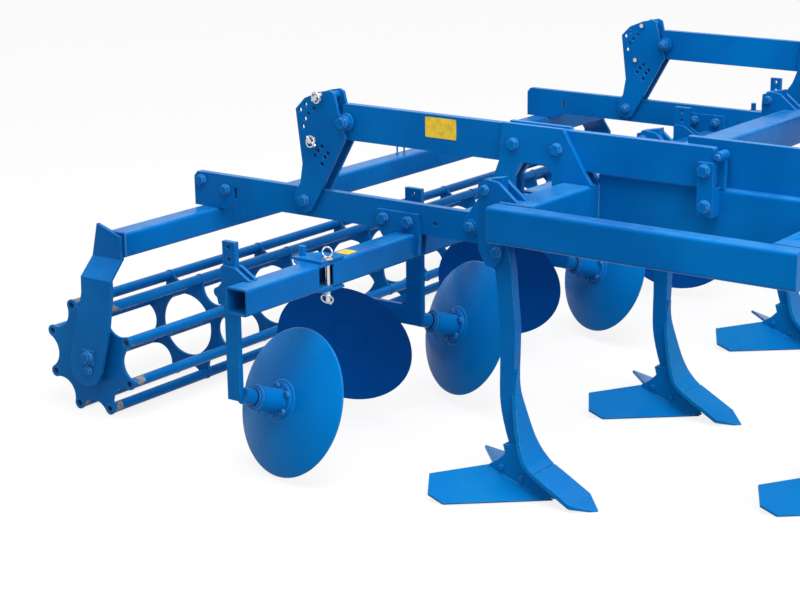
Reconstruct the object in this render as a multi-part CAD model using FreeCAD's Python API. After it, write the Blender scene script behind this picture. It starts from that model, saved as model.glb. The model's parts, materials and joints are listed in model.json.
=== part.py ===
import FreeCAD, Part
import math
import os

V = FreeCAD.Vector

# ---------------------------------------------------------------------------
# Mounted two-row stubble cultivator, 3 m wide.
# Millimetres. +X is the direction of travel, +Y the machine's left, +Z up.
# The shapes are laid out from the tips of the rear row of share points
# (x = 0 there) and moved on saving, so that the origin is on the ground
# under the middle of the machine.
# ---------------------------------------------------------------------------

# --- layout -----------------------------------------------------------------
line_step = 430.0           # distance between neighbouring tine lines
row_gap = 800.0             # rear row to front row
rear_lines = (-3, -1, 1, 3)  # tine lines of the rear row, counted from the middle
front_lines = (-2, 0, 2)    # tine lines of the front row

# --- frame ------------------------------------------------------------------
frame_top = 830.0           # top of the tine tubes and side beams
tine_tube = 100.0           # square section of the two tine tubes
tine_tube_back = 300.0      # share tip to the back face of its tine tube
tube_round = 10.0           # outer corner radius of square tubes
side_beam_face = 1390.0     # outer face of a side beam, from the middle
side_beam_width = 60.0
rail_width = 80.0
rail_height = 148.0
rail_rise = 30.0            # a main rail's top above the tine tubes

# --- tines ------------------------------------------------------------------
shank_thick = 30.0
shank_top = 893.0
shank_gap = 4.0             # shank's front edge behind the tine tube
shank_depth = 62.0            # behind the tine tube
holder_plate = 12.0
holder_up = 55.0            # holder plates above the tine tube
holder_down = 88.0          # holder plates below the tine tube
holder_back = 76.0          # holder plates behind the tine tube

# --- shares -----------------------------------------------------------------
point_width = 112.0
frog_width = 40.0
wing_thick = 8.0
wing_sweep = 39.8           # leading edge, degrees from the direction of travel
wing_pitch = 25.5           # degrees, trailing edge high
wing_nose_back = 140.0      # share tip back to the nose of the wings
wing_nose_side = 8.0        # nose of a wing from the share's middle
wing_edge_up = 8.0          # leading edge above the ground

# --- arms -------------------------------------------------------------------
arm_beside = 128.0          # outer tine line of the front row to the arms' middle plane
upper_arm_thick = 26.0
upper_arm_top = 975.0
upper_arm_height = 109.0
upper_arm_back = 1080.0     # share tip back to the arm's tail
upper_arm_front = 168.0     # share tip forward to the arm's nose
lower_arm_thick = 24.0
lower_arm_top = 700.0
lower_arm_height = 90.0
lower_arm_past = 100.0      # lower arm's end behind the front face of the roller tube
hinge_back = 604.0          # share tip back to the lower arm's hinge
hinge_z = 664.0
hinge_pin = 30.0
hinge_eye = 58.0            # rounded end of the hinge lugs
hinge_head = 42.0
running_gap = 0.05          # radial clearance of everything that turns
arch_plate = 15.0
arch_top = 980.0
arch_back = 507.0
arch_window_back = 456.0
arch_window_front = 329.0
arch_window_top = 872.0
strut_back = 128.0          # strut, measured forward of the share tip
strut_front = 176.0
strut_inner_front = 190.0
strut_bottom = 788.0
strut_top = 936.0
strut_inner_top = 950.0
strut_bush = 28.0

# --- adjuster ---------------------------------------------------------------
adjuster_plate = 10.0
adjuster_clear = 5.5        # upper arm to an adjuster plate
adjuster_bolt_back = 1225.0
adjuster_bolt_z = 663.0
adjuster_boss = 46.0
pivot_eye = 54.0            # rounded ear where the cheeks meet the upper arm's tail
pivot_boss = 42.0
adjuster_hole = 14.0
adjuster_pin = 16.0
spacer_diameter = 24.0

# --- roller -----------------------------------------------------------------
roller_back = 1743.0        # share tip back to the roller's axis
bar_circle = 172.0          # roller axis to the bars
bar_diameter = 33.0
bar_bore = 20.0
lobe_diameter = 37.0        # lobes of the stars round the bars
star_tips = 8
star_phase = 24.5           # degrees, first bar back from straight up
star_valley = 138.0         # roller axis to the bottom of the scallops
star_plate = 8.0
star_outer = 1451.0         # outer face of the end stars
rings_a_side = 3            # rings inside each end star
ring_pitch = 445.0
ring_hole = 208.0
stub_shaft = 40.0
stub_length = 23.0
bearing_diameter = 92.0
roller_tube = 76.0
roller_tube_top = 590.0
roller_tube_ahead = 151.0   # roller's axis forward to the tube's front face
end_arm_clear = 27.0        # an end star to the inner face of its end arm
end_arm_step = 53.0         # how far an end arm steps out on its way down
end_arm_thick = 12.0

# --- discs ------------------------------------------------------------------
disc_diameter = 430.0
disc_thick = 5.0
disc_dish = 41.0
disc_flat = 124.0           # flat middle of a disc
disc_mid = 140.0            # radius of the middle point of a disc's curve
hub_diameter = 70.0
hub_length = 84.0
hub_flange = 104.0
hub_flange_thick = 9.0
axle_diameter = 30.0
axle_depth = 62.0           # axle inside the hub
axle_boss = 47.0
axle_boss_length = 34.0     # boss round an axle, from the middle plane of its arm
hub_clear = 6.0             # boss to the hub's end
pair_lines = (-2, 0, 2)     # disc arms in the middle, in tine lines
front_disc = (-841.0, 160.0, 240.0, 22.0, 18.0)    # x, y from the arm, z, yaw, camber
rear_disc = (-1050.0, -196.0, 240.0, 160.0, 20.0)
edge_disc = (-874.0, 167.0, 215.0, 12.0, 19.0)
edge_arm_line = 1690.0
edge_arm_back = 957.0       # share tip back to the rear edge of an edge disc's arm
edge_arm_width = 45.0
edge_arm_bottom = 258.0
pair_arm_back = 950.0
pair_arm_width = 60.0
disc_arm_thick = 16.0
disc_arm_top = 711.0
pair_arm_bottom = 275.0
disc_leg_height = 62.0      # rear leg of a pair arm
disc_leg_back = 1150.0
disc_tube = 76.0
disc_tube_front = 809.0     # share tip back to the tube's front face
disc_tube_end = 1400.0
extension_start = 1466.0
extension_end = 1773.0
tube_wall = 6.0             # of the open ends of disc tube and extensions
fold_pin = 20.0             # painted pivot behind the tubes
fold_pin_up = 30.0
tube_pin = 14.0             # plated pin that locks an extension
tube_pin_collar = 34.0
clamp_plate = 10.0
clamp_top = 645.0
lug_plate = 8.0
bracket_plate = 12.0

# --- headstock --------------------------------------------------------------
headstock_plate = 20.0
headstock_top = 988.0
headstock_back = 60.0
tower_plate = 20.0
tower_gap = 60.0            # between the tower plates, for the top link
stay_width = 60.0
stay_thick = 14.0
lower_pin_span = 825.0      # between the middles of the lower link yokes
lower_hole_diameter = 28.5
lower_pin_z = 620.0
lower_pin_ahead = 150.0     # front face of the front tube to the lower link pins
yoke_gap = 66.0
yoke_plate = 20.0
top_hole_diameter = 25.5
mast_height = 610.0
top_hole_ahead = 60.0

# --- worked out from the above ----------------------------------------------
rear_tube_front = tine_tube - tine_tube_back
front_tube_back = row_gap - tine_tube_back
front_tube_front = row_gap + rear_tube_front
tube_bottom = frame_top - tine_tube
beam_inside = side_beam_face - side_beam_width
rail_top = frame_top + rail_rise
arm_mid = front_lines[-1] * line_step + arm_beside      # middle plane of upper and lower arms
arm_in = arm_mid - upper_arm_thick / 2
arm_out = arm_mid + upper_arm_thick / 2
rail_face = arm_in          # outer face of a main rail, from the middle
roller_tube_back = roller_back - roller_tube_ahead      # share tip back to its front face
lower_arm_back = roller_tube_back + lower_arm_past
end_arm_lower = star_outer + end_arm_clear      # inner face of an end arm at the bearing
end_arm_upper = end_arm_lower - end_arm_step    # inner face of an end arm at the roller tube
lobe_low = abs(math.cos(math.radians(star_phase + 135.0))) * bar_circle
roller_z = lobe_low + lobe_diameter / 2
lobe_back = math.sin(math.radians(star_phase + 45.0)) * bar_circle
machine_back = roller_back + lobe_back + lobe_diameter / 2
machine_front = row_gap
to_origin = (machine_back - machine_front) / 2


# --- small helpers ----------------------------------------------------------
def box(x0, x1, y0, y1, z0, z1):
    """Block between two corners."""
    lo = V(min(x0, x1), min(y0, y1), min(z0, z1))
    return Part.makeBox(abs(x1 - x0), abs(y1 - y0), abs(z1 - z0), lo)


def rounded(shape, axis, radius):
    """Round the four edges of a block that run along one axis."""
    edges = []
    for edge in shape.Edges:
        run = edge.Vertexes[1].Point - edge.Vertexes[0].Point
        if abs(abs(run.normalize().dot(axis)) - 1.0) < 1e-6:
            edges.append(edge)
    return shape.makeFillet(radius, edges)


def beam_x(x0, x1, y0, y1, z0, z1):
    """Square or oblong tube along X, closed, with round corners."""
    return rounded(box(x0, x1, y0, y1, z0, z1), V(1, 0, 0), tube_round)


def beam_y(x0, x1, y0, y1, z0, z1):
    """Square tube along Y, closed, with round corners."""
    return rounded(box(x0, x1, y0, y1, z0, z1), V(0, 1, 0), tube_round)


def plate_xz(points, y0, thick):
    """Flat plate from an outline in the XZ plane, from y0 towards +Y."""
    wire = Part.makePolygon([V(x, y0, z) for x, z in points + points[:1]])
    return Part.Face(wire).extrude(V(0, thick, 0))


def plate_xy(points, z0, thick):
    """Flat plate of the right side from an outline in the XY plane, from z0 upwards."""
    wire = Part.makePolygon([V(x, -y, z0) for x, y in points + points[:1]])
    return Part.Face(wire).extrude(V(0, 0, thick))


def rod_y(x, z, y0, y1, diameter):
    """Round bar along Y."""
    return Part.makeCylinder(diameter / 2, abs(y1 - y0), V(x, min(y0, y1), z), V(0, 1, 0))


def rod_z(x, y, z0, z1, diameter):
    """Round bar along Z."""
    return Part.makeCylinder(diameter / 2, z1 - z0, V(x, y, z0))


def rod(start, end, diameter):
    """Round bar between two points."""
    run = end - start
    return Part.makeCylinder(diameter / 2, run.Length, start, run)


def moved(shape, x, y, z):
    """A copy of a shape, moved."""
    copy = shape.copy()
    copy.translate(V(x, y, z))
    return copy


def both_sides(shape):
    """The same shape on the machine's other side."""
    return shape.mirror(V(0, 0, 0), V(0, 1, 0))


def fused(shapes):
    """One solid from several that meet."""
    return shapes[0].multiFuse(shapes[1:]).removeSplitter()


def save(name, solids):
    """Write one sub-part, moved onto the origin."""
    shape = solids[0] if len(solids) == 1 else Part.makeCompound(solids)
    moved(shape, to_origin, 0, 0).exportStep("parts/" + name + ".step")


def save_pair(name, solids):
    """Write a sub-part of the right side and its mirror image on the left."""
    save(name + "_right", solids)
    save(name + "_left", [both_sides(s) for s in solids])


def save_both(name, solids):
    """Write the right side's solids and their mirror images as one sub-part."""
    save(name, solids + [both_sides(s) for s in solids])


os.makedirs("parts", exist_ok=True)


# --- frame ------------------------------------------------------------------
save("rear_tine_tube", [beam_y(-tine_tube_back, rear_tube_front, -beam_inside, beam_inside,
                               tube_bottom, frame_top)])
save("front_tine_tube", [beam_y(front_tube_back, front_tube_front, -beam_inside, beam_inside,
                                tube_bottom, frame_top)])
save_pair("side_beam", [beam_x(-tine_tube_back, front_tube_front, -side_beam_face, -beam_inside,
                               tube_bottom, frame_top)])
save_pair("main_rail", [beam_x(rear_tube_front, front_tube_back, -rail_face,
                               rail_width - rail_face, rail_top - rail_height, rail_top)])


# --- shares -----------------------------------------------------------------
def share():
    """Pointed chisel, two wings, the frog between them and the wing brackets."""
    face = [(-172, 85), (-196, 103), (-228, 161), (-248, 235), (-259, 295), (-258, 356)]
    rear = [(-270, 356), (-271, 294), (-260, 232), (-239, 157), (-206, 96), (-178, 75)]
    front_curve = Part.BSplineCurve()
    front_curve.interpolate([V(x, -point_width / 2, z) for x, z in face])
    rear_curve = Part.BSplineCurve()
    rear_curve.interpolate([V(x, -point_width / 2, z) for x, z in rear])
    side = -point_width / 2
    low = [(-178, 75), (-65, 12), (-16, 0), (0, 0), (-59, 23), (-172, 85)]
    edges = [front_curve.toShape(), rear_curve.toShape()]
    edges.append(Part.makeLine(V(-258, side, 356), V(-270, side, 356)))
    for (x0, z0), (x1, z1) in zip(low[:-1], low[1:]):
        edges.append(Part.makeLine(V(x0, side, z0), V(x1, side, z1)))
    wire = Part.Wire(Part.__sortEdges__(edges))
    chisel = Part.Face(wire).extrude(V(0, point_width, 0))
    half = point_width / 2
    # narrowing towards the top, seen from the front
    taper = [(60, half), (108, half - 2), (161, 41), (240, 26), (295, 14), (360, 6)]
    outline = [(-y, z) for z, y in taper] + [(y, z) for z, y in reversed(taper)]
    outline = [(-half, -5)] + outline + [(half, -5)]
    points = [V(-400, y, z) for y, z in outline + outline[:1]]
    chisel = chisel.common(Part.Face(Part.makePolygon(points)).extrude(V(500, 0, 0)))
    # pointed tip, seen from above
    tip = [(0, 4), (-58, half), (-420, half), (-420, -half), (-58, -half), (0, -4)]
    points = [V(x, y, -5) for x, y in tip + tip[:1]]
    chisel = chisel.common(Part.Face(Part.makePolygon(points)).extrude(V(0, 0, 400)))
    # groove where the shin plate ends on the point
    chisel = chisel.cut(box(-177, -172, -half, half, 84.5, 110))
    frog_line = [(-105, 42), (-174, 80), (-200, 100), (-233, 159), (-262, 150), (-276, 144),
                 (-297, 141), (-290, 116), (-312, 94), (-340, 76), (-344, 70), (-338, 60), (-150, 6)]
    frog = plate_xz(frog_line, -frog_width / 2, frog_width)
    return fused([chisel, frog, wing(), both_sides(wing())])


def wing_point(along, across, up=0.0):
    """A point on the right wing's upper face; across is level, away from the edge."""
    sweep = math.radians(wing_sweep)
    x = -wing_nose_back - along * math.cos(sweep) - across * math.sin(sweep)
    y = -wing_nose_side - along * math.sin(sweep) + across * math.cos(sweep)
    z = wing_edge_up + across * math.tan(math.radians(wing_pitch)) + up
    return V(x, y, z)


def wing():
    """Right wing, a flat blade with its leading edge ground on the under side."""
    outline = [(0, 0), (302, 0), (343, 37), (333, 105), (155, 131), (124, 104)]
    top = [wing_point(a, b) for a, b in outline]
    blade = Part.Face(Part.makePolygon(top + top[:1]))
    pitch = math.radians(wing_pitch)
    sweep = math.radians(wing_sweep)
    down = V(math.sin(sweep) * math.sin(pitch), -math.cos(sweep) * math.sin(pitch),
             math.cos(pitch))
    blade = blade.extrude(down.multiply(-wing_thick))
    ground = box(-600, 200, -400, 400, -50, 3)
    return blade.cut(ground)


# --- tines ------------------------------------------------------------------
def shank(blade):
    """Curved tine shank in its own plane, ending behind the share."""
    front_x = -tine_tube_back - shank_gap
    back_x = front_x - shank_depth
    low_back = [(-341, 705), (-330, 657), (-320, 580), (-312, 468), (-310, 378), (-311, 311),
                (-309, 262), (-300, 213), (-281, 150), (-268, 118)]
    low_front = [(-214, 122), (-234, 161), (-254, 235), (-265, 295), (-264, 352), (-262, 410),
                 (-262, 497), (-268, 553), (-275, 636), (-285, 690)]
    back = Part.BSplineCurve()
    back.interpolate([V(x, 0, z) for x, z in [(back_x, 760), (back_x + 6, 735)] + low_back])
    front = Part.BSplineCurve()
    front.interpolate([V(x, 0, z) for x, z in low_front + [(front_x + 6, 722)]])
    edges = [back.toShape(), front.toShape()]
    edges.append(Part.makeLine(V(front_x + 6, 0, 722), V(front_x, 0, 736)))
    edges.append(Part.makeLine(V(front_x, 0, 736), V(front_x, 0, shank_top)))
    edges.append(Part.makeLine(V(front_x, 0, shank_top), V(back_x, 0, shank_top - 12)))
    edges.append(Part.makeLine(V(back_x, 0, shank_top - 12), V(back_x, 0, 760)))
    edges.append(Part.makeLine(V(-268, 0, 118), V(-214, 0, 122)))
    face = Part.Face(Part.Wire(Part.__sortEdges__(edges)))
    solid = face.extrude(V(0, shank_thick, 0))
    solid.translate(V(0, -shank_thick / 2, 0))
    return solid.cut(blade)


def holder():
    """The two plates that grip a shank behind its tine tube."""
    back = -tine_tube_back
    outline = [(back + 53, frame_top), (back - 11, frame_top + holder_up - 4),
               (back - 44, frame_top + holder_up), (back - 74, frame_top + 44),
               (back - holder_back, frame_top + 8), (back - holder_back, tube_bottom + 10),
               (back - 74, tube_bottom - 40), (back - 52, tube_bottom - holder_down + 6),
               (back - 24, tube_bottom - holder_down), (back - 4, tube_bottom - 64),
               (back, tube_bottom - 30), (back, frame_top)]
    side = shank_thick / 2
    return [plate_xz(outline, -side - holder_plate, holder_plate), plate_xz(outline, side, holder_plate)]


share_shape = share()
shank_shape = shank(share_shape)
holder_plates = holder()
for name, ahead, lines in (("rear", 0.0, rear_lines), ("front", row_gap, front_lines)):
    save(name + "_tine_shanks", [moved(shank_shape, ahead, k * line_step, 0) for k in lines])
    save(name + "_shares", [moved(share_shape, ahead, k * line_step, 0) for k in lines])
    plates = [moved(p, ahead, k * line_step, 0) for k in lines for p in holder_plates]
    save(name + "_tine_holders", plates)


# --- upper arms, arch brackets, struts --------------------------------------
arm_bottom = upper_arm_top - upper_arm_height
upper_arm = box(-upper_arm_back, upper_arm_front, -arm_out, -arm_in, arm_bottom, upper_arm_top)
upper_arm = rounded(upper_arm, V(0, 1, 0), 8)
save_pair("upper_arm", [upper_arm])


def arch_outline():
    """Bracket plate: arch over the tine tube and a lug down to the hinge."""
    eye = hinge_eye / 2
    turn = []
    for step in range(9):
        angle = math.radians(145 + step * 22)
        turn.append((-hinge_back + eye * math.cos(angle), hinge_z + eye * math.sin(angle)))
    top = [(-496, arch_top), (-296, arch_top), (-282, 959), (-221, 859), (rear_tube_front, frame_top)]
    return top + [(-tine_tube_back, frame_top), (-tine_tube_back, tube_bottom + 8), (-400, 736),
                  (-478, 716), (-540, 672)] + turn[::-1] + [(-524, 825), (-arch_back, 869)]


def arch_plate_solid(y0):
    """One arch plate with its window and hinge hole."""
    plate = plate_xz(arch_outline(), y0, arch_plate)
    rise = arch_window_top - 44
    window = [(-arch_window_back, 780), (-arch_window_front, 780),
              (-arch_window_front, rise + 20), (-arch_window_front - 20, arch_window_top),
              (-arch_window_back + 26, arch_window_top), (-arch_window_back, rise)]
    plate = plate.cut(plate_xz(window, y0 - 5, arch_plate + 10))
    bore = rod_y(-hinge_back, hinge_z, y0 - 5, y0 + arch_plate + 5, hinge_pin + 2 * running_gap)
    return plate.cut(bore)


save_both("arch_brackets", [arch_plate_solid(-arm_out - arch_plate), arch_plate_solid(-arm_in)])

strut_plate = box(strut_back, strut_front, -arm_out - arch_plate, -arm_out, strut_bottom, strut_top)
strut_inner = box(strut_back, strut_inner_front, -arm_in, arch_plate - arm_in, rail_top,
                  strut_inner_top)
strut_pack = box(strut_back, strut_front, -arm_out, -rail_face, strut_bottom, arm_bottom)
bush_x = upper_arm_front + strut_bush / 2 + 0.5
bush_z = strut_top + 17
strut_nose = rod_y(bush_x, bush_z, -arm_out - 4, arch_plate - arm_in, strut_bush)
strut = fused([strut_plate, strut_inner, strut_pack, strut_nose])
save_both("arm_struts", [strut])


# --- hinge pins -------------------------------------------------------------
def headed_pin(x, z, y0, y1, diameter, head):
    """Pin between two faces with a head against each."""
    shaft = rod_y(x, z, y0 - 8, y1 + 8, diameter)
    heads = [rod_y(x, z, y0 - 8, y0, head), rod_y(x, z, y1, y1 + 8, head)]
    return fused([shaft] + heads)


hinge = headed_pin(-hinge_back, hinge_z, -arm_out - arch_plate, arch_plate - arm_in, hinge_pin,
                   hinge_head)
save_both("hinge_pins", [hinge])

# --- lower arms -------------------------------------------------------------
low_in = arm_mid - lower_arm_thick / 2
low_out = arm_mid + lower_arm_thick / 2
arm_foot = lower_arm_top - lower_arm_height
arm_line = [(-568, lower_arm_top), (-lower_arm_back + 14, lower_arm_top),
            (-lower_arm_back, lower_arm_top - 16), (-lower_arm_back, roller_tube_top),
            (-1556, roller_tube_top), (-1528, arm_foot), (-575, arm_foot),
            (-558, arm_foot + 22), (-558, lower_arm_top - 16)]
lower_arm = plate_xz(arm_line, -low_out, lower_arm_thick)
lower_arm = lower_arm.cut(rod_y(-hinge_back, hinge_z, -low_out - 5, 5 - low_in,
                                hinge_pin + 2 * running_gap))
lower_arm = lower_arm.cut(rod_y(-744, 648, -low_out - 5, 5 - low_in, adjuster_hole))
lower_arm = lower_arm.cut(box(-1526, -1514, -low_out - 5, 5 - low_in, 626, 664))
save_pair("lower_arm", [lower_arm])

# --- adjuster plates --------------------------------------------------------
adjuster_line = [(-1250, 946), (-1214, 982), (-1158, 1005), (-1118, 1013), (-1102, 1006),
                 (-1087, 950), (-1060, 873), (-1146, 723), (-1187, 655), (-1199, 634),
                 (-1226, 622), (-1253, 634), (-1265, 662), (-1260, 690), (-1240, 715),
                 (-1229, 778), (-1241, 873)]
upper_holes = [(-1233, 944), (-1211, 961), (-1179, 952), (-1199, 935), (-1215, 918), (-1224, 893)]
lower_holes = [(-1152, 839), (-1168, 825), (-1180, 808), (-1129, 820), (-1141, 807), (-1153, 784)]
pin_spots = [(-1158, 989), (-1183, 856)]
pivot_x = -1060.0
pivot_z = 923.0
face_out = arm_out + adjuster_clear
face_in = arm_in - adjuster_clear
cheeks = []
for y0, low_face in ((-face_out - adjuster_plate, -low_out), (-face_in, -low_in)):
    cheek = plate_xz(adjuster_line, y0, adjuster_plate)
    inner = y0 + adjuster_plate if y0 < -arm_mid else y0
    cheek = cheek.fuse(rod_y(-adjuster_bolt_back, adjuster_bolt_z, inner, low_face, adjuster_boss))
    cheek = cheek.fuse(rod_y(pivot_x, pivot_z, y0, y0 + adjuster_plate, pivot_eye))
    for x, z in upper_holes + lower_holes:
        cheek = cheek.cut(rod_y(x, z, y0 - 5, y0 + adjuster_plate + 5, adjuster_hole))
    for x, z in pin_spots:
        cheek = cheek.cut(rod_y(x, z, y0 - 5, y0 + adjuster_plate + 5, adjuster_pin + 1))
    cheeks.append(cheek)
bridge = rod_y(-1124, 995, -face_out, -face_in, spacer_diameter)
outer_face = -face_out - adjuster_plate
inner_face = adjuster_plate - face_in
boss = rod_y(pivot_x, pivot_z, outer_face - 12, outer_face, pivot_boss)
boss_in = rod_y(pivot_x, pivot_z, inner_face, inner_face + 12, pivot_boss)
save_pair("adjuster_plates", [fused(cheeks + [bridge, boss, boss_in])])

pins = []
for x, z in pin_spots:
    shaft = rod_y(x, z, outer_face - 22, inner_face + 12, adjuster_pin)
    collar = rod_y(x, z, outer_face - 6, outer_face, 26)
    pins.append(fused([shaft, collar]))
save_both("adjuster_pins", pins)

# --- roller frame -----------------------------------------------------------
tube_line = -roller_tube_back
save("roller_tube", [beam_y(tube_line - roller_tube, tube_line, -end_arm_upper, end_arm_upper,
                            roller_tube_top - roller_tube, roller_tube_top)])
joggle = [(end_arm_upper, 640), (end_arm_upper, 508), (end_arm_lower, 452), (end_arm_lower, 60)]
joggle = joggle + [(y + end_arm_thick, z) for y, z in reversed(joggle)]
profile = [V(-roller_back - 100, -y, z) for y, z in joggle + joggle[:1]]
end_arm = Part.Face(Part.makePolygon(profile)).extrude(V(300, 0, 0))
arm_side = [(46, 611), (141, 580), (143, 410), (121, 287), (81, 150), (59, 112), (21, 98),
            (-21, 104), (-43, 132), (-47, 175), (-27, 250), (17, 400), (21, 508)]
arm_side = [(x - roller_back, z) for x, z in arm_side]
end_arm = end_arm.common(plate_xz(arm_side, -end_arm_lower - 2 * end_arm_thick,
                                  end_arm_step + 4 * end_arm_thick))
bearing = rod_y(-roller_back, roller_z, -end_arm_lower, 5 - end_arm_lower + 17, bearing_diameter)
bearing = bearing.cut(rod_y(-roller_back, roller_z, -end_arm_lower - 1, -star_outer,
                            stub_shaft + 2 * running_gap))
save_pair("roller_end_arm", [fused([end_arm, bearing])])


# --- roller -----------------------------------------------------------------
def bar_spot(k):
    """Middle of a roller bar, seen from the side."""
    angle = math.radians(star_phase + k * 360 / star_tips)
    return (-roller_back - bar_circle * math.sin(angle), roller_z + bar_circle * math.cos(angle))


def star(y0, hole):
    """Plate with a lobe round each bar and round scallops between them."""
    step = 2 * math.pi / star_tips
    lobe = lobe_diameter / 2
    scallop = (bar_circle ** 2 - (star_valley - lobe) ** 2)
    scallop = scallop / (2 * (bar_circle * math.cos(step / 2) - star_valley + lobe))
    share_of_lobe = lobe / (scallop - star_valley + lobe)

    def spot(radius, angle):
        return V(-roller_back - radius * math.sin(angle), y0, roller_z + radius * math.cos(angle))

    edges = []
    for k in range(star_tips):
        angle = math.radians(star_phase) + k * step
        middle = spot(bar_circle, angle)
        meets = []
        for side in (-0.5, 0.5):
            meets.append(middle + (spot(scallop, angle + side * step) - middle) * share_of_lobe)
        ahead = spot(bar_circle, angle + step)
        ahead = ahead + (spot(scallop, angle + step / 2) - ahead) * share_of_lobe
        edges.append(Part.Arc(meets[0], spot(bar_circle + lobe, angle), meets[1]).toShape())
        edges.append(Part.Arc(meets[1], spot(star_valley, angle + step / 2), ahead).toShape())
    plate = Part.Face(Part.Wire(edges)).extrude(V(0, star_plate, 0))
    if hole > 0:
        plate = plate.cut(rod_y(-roller_back, roller_z, y0 - 1, y0 + star_plate + 1, hole))
    return plate


bars = []
for k in range(star_tips):
    bar = rod_y(*bar_spot(k), -star_outer, star_outer, bar_diameter)
    bars.append(bar.cut(rod_y(*bar_spot(k), -star_outer - 1, star_outer + 1, bar_bore)))
save("roller_bars", bars)


def seated(plate):
    """The plate with a hole for each bar, so that plate and bars meet."""
    for k in range(star_tips):
        plate = plate.cut(rod_y(*bar_spot(k), -star_outer - 1, star_outer + 1, bar_diameter))
    return plate


end_stars = []
for inner, outer in ((-star_outer + star_plate, -star_outer), (star_outer - star_plate, star_outer)):
    plate = seated(star(min(inner, outer), 0))
    end = outer + math.copysign(stub_length, outer)
    end_stars.append(fused([plate, rod_y(-roller_back, roller_z, outer, end, stub_shaft)]))
save("roller_end_stars", end_stars)

rings = []
for k in range(1, rings_a_side + 1):
    for middle in (ring_pitch * k - star_outer, star_outer - ring_pitch * k):
        rings.append(seated(star(middle - star_plate / 2, ring_hole)))
save("roller_rings", rings)

# --- disc tube --------------------------------------------------------------
tube_front = -disc_tube_front
tube_rear = tube_front - disc_tube
disc_top = arm_foot
disc_low = disc_top - disc_tube
main_tube = beam_y(tube_rear, tube_front, -disc_tube_end, disc_tube_end, disc_low, disc_top)
for side in (-1, 1):
    mouth = box(tube_rear + tube_wall, tube_front - tube_wall, side * (disc_tube_end - 120),
                side * (disc_tube_end + 1), disc_low + tube_wall, disc_top - tube_wall)
    main_tube = main_tube.cut(rounded(mouth, V(0, 1, 0), tube_round - tube_wall))
save("disc_tube", [main_tube])

# lugs on the main tube, above and below the tongues of the extension
lug_line = [(tube_front, disc_tube_end - 46), (tube_front - 4, disc_tube_end + 50),
            (tube_rear - 40, disc_tube_end + 44), (tube_rear - 40, disc_tube_end - 4),
            (tube_rear, disc_tube_end - 46)]
fold_x = tube_rear - 18
fold_y = -(disc_tube_end + 22)
pin_x = tube_front - 13
pin_y = -(disc_tube_end + 12)
fold_hole = rod_z(fold_x, fold_y, disc_low - 90, disc_top + 90, fold_pin + 0.6)
pin_hole = rod_z(pin_x, pin_y, disc_low - 90, disc_top + 90, tube_pin + 0.6)
lug_top = disc_top + lug_plate
lug_low = disc_low - lug_plate
lugs = [plate_xy(lug_line, z0, lug_plate).cut(pin_hole) for z0 in (disc_top, lug_low)]
lugs.append(rod_z(fold_x, fold_y, lug_low - 12, lug_top + fold_pin_up, fold_pin))
save_both("disc_tube_lugs", [fused(lugs)])
shaft = rod_z(pin_x, pin_y, lug_low - 32, lug_top + 2, tube_pin)
collar = rod_z(pin_x, pin_y, lug_top, lug_top + 7, tube_pin_collar)
save_both("disc_tube_pins", [shaft.fuse(collar)])

outer = beam_y(tube_rear, tube_front, -extension_end, -extension_start, disc_low, disc_top)
inner = box(tube_rear + tube_wall, tube_front - tube_wall, -extension_end - 1,
            1 - extension_start, disc_low + tube_wall, disc_top - tube_wall)
extension = outer.cut(rounded(inner, V(0, 1, 0), tube_round - tube_wall))
tongue_line = [(tube_front - 2, extension_start + 3), (tube_front - 2, disc_tube_end + 2),
               (tube_rear + 2, disc_tube_end + 2), (tube_rear - 34, disc_tube_end + 6),
               (tube_rear - 34, extension_start - 22), (tube_rear + 2, extension_start + 3)]
tongues = [plate_xy(tongue_line, z0, lug_plate).cut(pin_hole).cut(fold_hole)
           for z0 in (disc_top - lug_plate, disc_low)]
save_pair("disc_extension", [fused([extension] + tongues)])

bracket_line = [(-952, 672), (-800, 672), (-792, disc_top), (-797, 545), (tube_front, 545),
                (tube_front, disc_top), (tube_rear, disc_top), (tube_rear, 556), (-905, 556),
                (-952, 622)]
save_both("disc_tube_brackets", [plate_xz(bracket_line, -low_out - bracket_plate, bracket_plate),
                                 plate_xz(bracket_line, -low_in, bracket_plate)])


# --- disc arms --------------------------------------------------------------
def heading(yaw, camber):
    """Unit vector out of a disc's hollow side."""
    a = math.radians(yaw)
    c = math.radians(camber)
    return V(math.sin(a) * math.cos(c), math.cos(a) * math.cos(c), -math.sin(c))


def disc_axle(spot, plane):
    """Axle from a disc's hub back to the middle plane of its arm."""
    centre = V(*spot[:3])
    out = heading(*spot[3:])
    hub_end = disc_dish + disc_thick + hub_flange_thick + hub_length
    start = centre - out * (hub_end - axle_depth)
    reach = (plane - centre.y) / out.y
    axle = rod(start, centre + out * reach, axle_diameter)
    boss = min(axle_boss_length, abs(reach + hub_end) - hub_clear)
    return axle.fuse(rod(centre + out * reach, centre + out * (reach + boss), axle_boss))


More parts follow.
